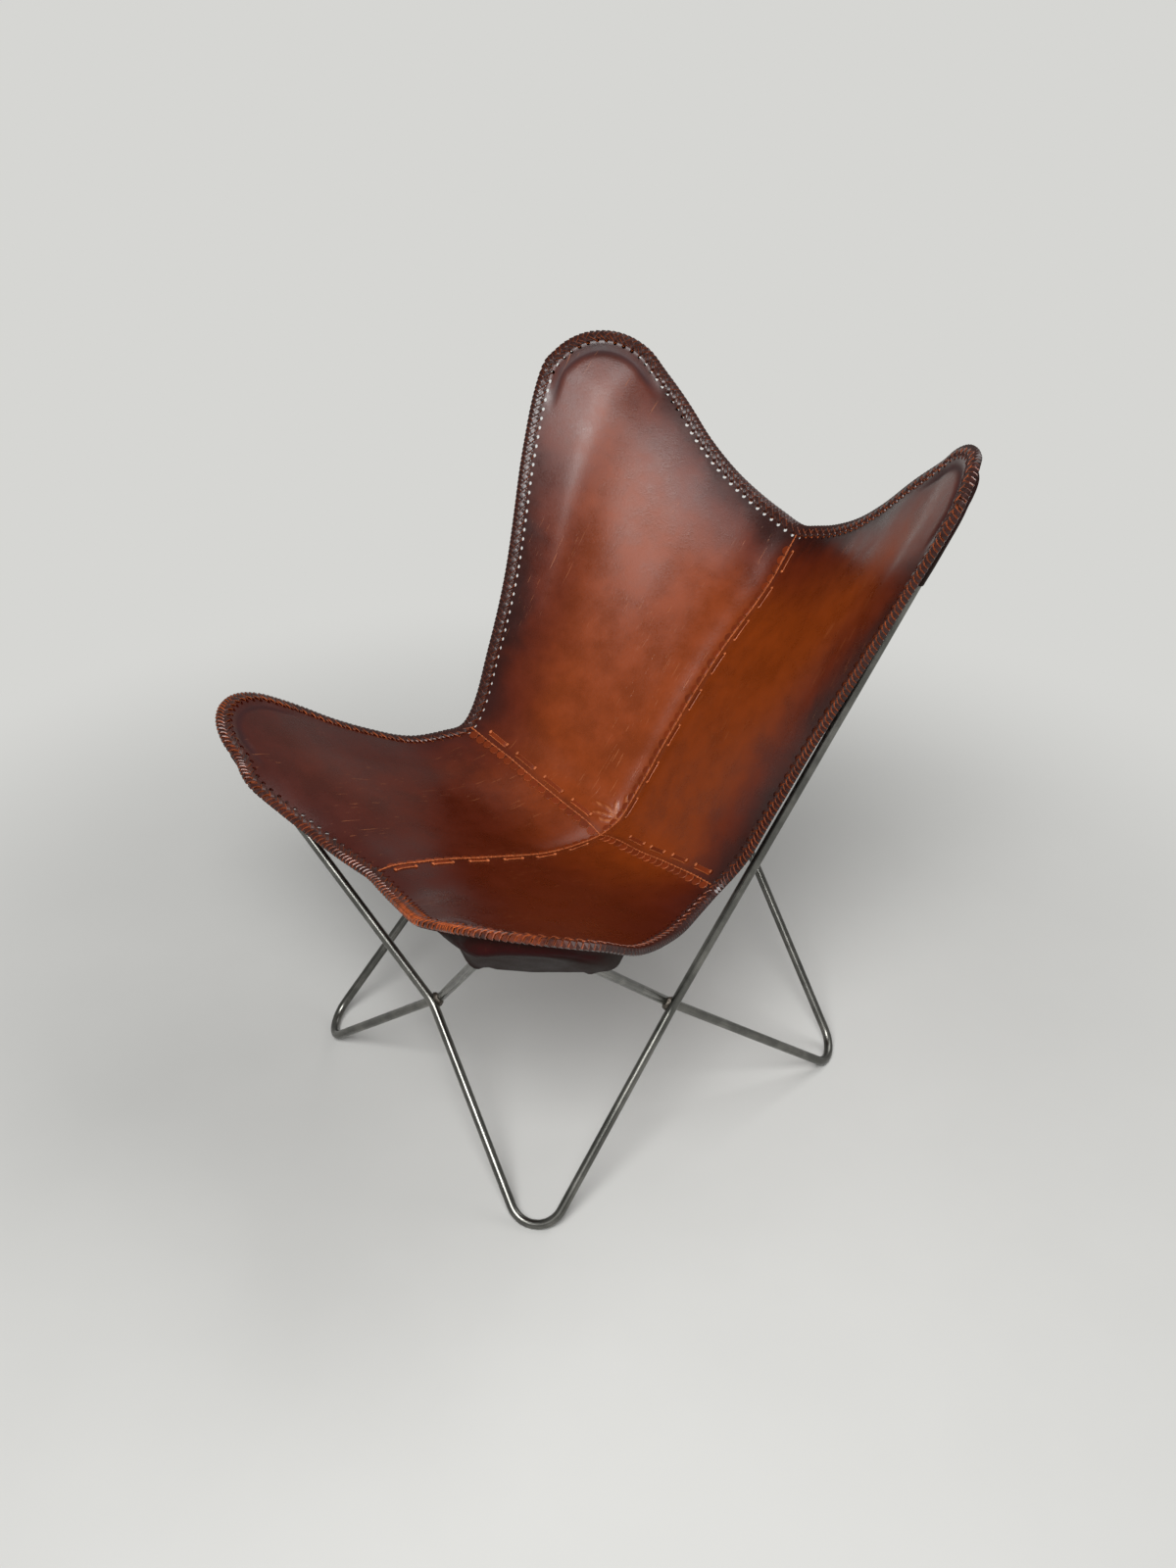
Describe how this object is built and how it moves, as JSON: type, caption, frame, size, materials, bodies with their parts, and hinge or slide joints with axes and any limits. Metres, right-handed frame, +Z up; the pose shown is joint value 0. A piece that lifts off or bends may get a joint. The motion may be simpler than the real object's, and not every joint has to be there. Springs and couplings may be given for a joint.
{
  "type": "butterfly sling chair",
  "caption": "Low lounge chair: a stitched leather sling with braided edges hung by pockets from four horns of a bent, welded steel rod frame.",
  "frame": {"origin": "on the floor, under the middle of the chair's outline seen from above", "axes": "+X towards the sitter's left, -Y towards the front, +Z up"},
  "size_m": [0.74, 0.752, 0.8929],
  "materials": {
    "steel_rod": "bare dark grey steel rod with a satin sheen and brighter drawn streaks",
    "weld_bead": "dark, slightly rough weld bead",
    "sling_leather": "thick hand-dyed saddle leather, cognac in the middle and dark oxblood at the edges and tips, semi-gloss",
    "pocket_leather": "dark oxblood leather, semi-gloss",
    "braided_thong": "dark brown braided leather thong, worn lighter on its ridges",
    "seam_thong": "tan leather thong and lapped seam"
  },
  "bodies": {
    "root": {"leg_front_right_horn_to_front_left_foot": "steel_rod", "leg_front_left_horn_to_front_right_foot": "steel_rod", "leg_rear_left_horn_to_front_left_foot": "steel_rod", "leg_front_left_horn_to_rear_left_foot": "steel_rod", "leg_front_right_horn_to_rear_right_foot": "steel_rod", "leg_rear_right_horn_to_front_right_foot": "steel_rod", "leg_rear_right_horn_to_rear_left_foot": "steel_rod", "leg_rear_left_horn_to_rear_right_foot": "steel_rod", "front_left_horn_bend": "steel_rod", "front_right_horn_bend": "steel_rod", "rear_left_horn_bend": "steel_rod", "rear_right_horn_bend": "steel_rod", "front_left_foot_bend": "steel_rod", "front_right_foot_bend": "steel_rod", "rear_left_foot_bend": "steel_rod", "rear_right_foot_bend": "steel_rod", "front_weld": "weld_bead", "left_weld": "weld_bead", "right_weld": "weld_bead", "rear_weld": "weld_bead", "back_panel_left": "sling_leather", "back_panel_right": "sling_leather", "seat_panel_left": "sling_leather", "seat_panel_right": "sling_leather", "front_left_pocket": "pocket_leather", "front_right_pocket": "pocket_leather", "rear_left_pocket": "pocket_leather", "rear_right_pocket": "pocket_leather", "front_edge_braid": "braided_thong", "front_left_tip_braid": "braided_thong", "left_edge_braid": "braided_thong", "rear_left_tip_braid": "braided_thong", "back_edge_braid": "braided_thong", "rear_right_tip_braid": "braided_thong", "right_edge_braid": "braided_thong", "front_right_tip_braid": "braided_thong", "back_seam_strip": "seam_thong", "seat_seam_strip": "seam_thong", "left_cross_seam_strip": "seam_thong", "right_cross_seam_strip": "seam_thong"}
  },
  "joints": []
}
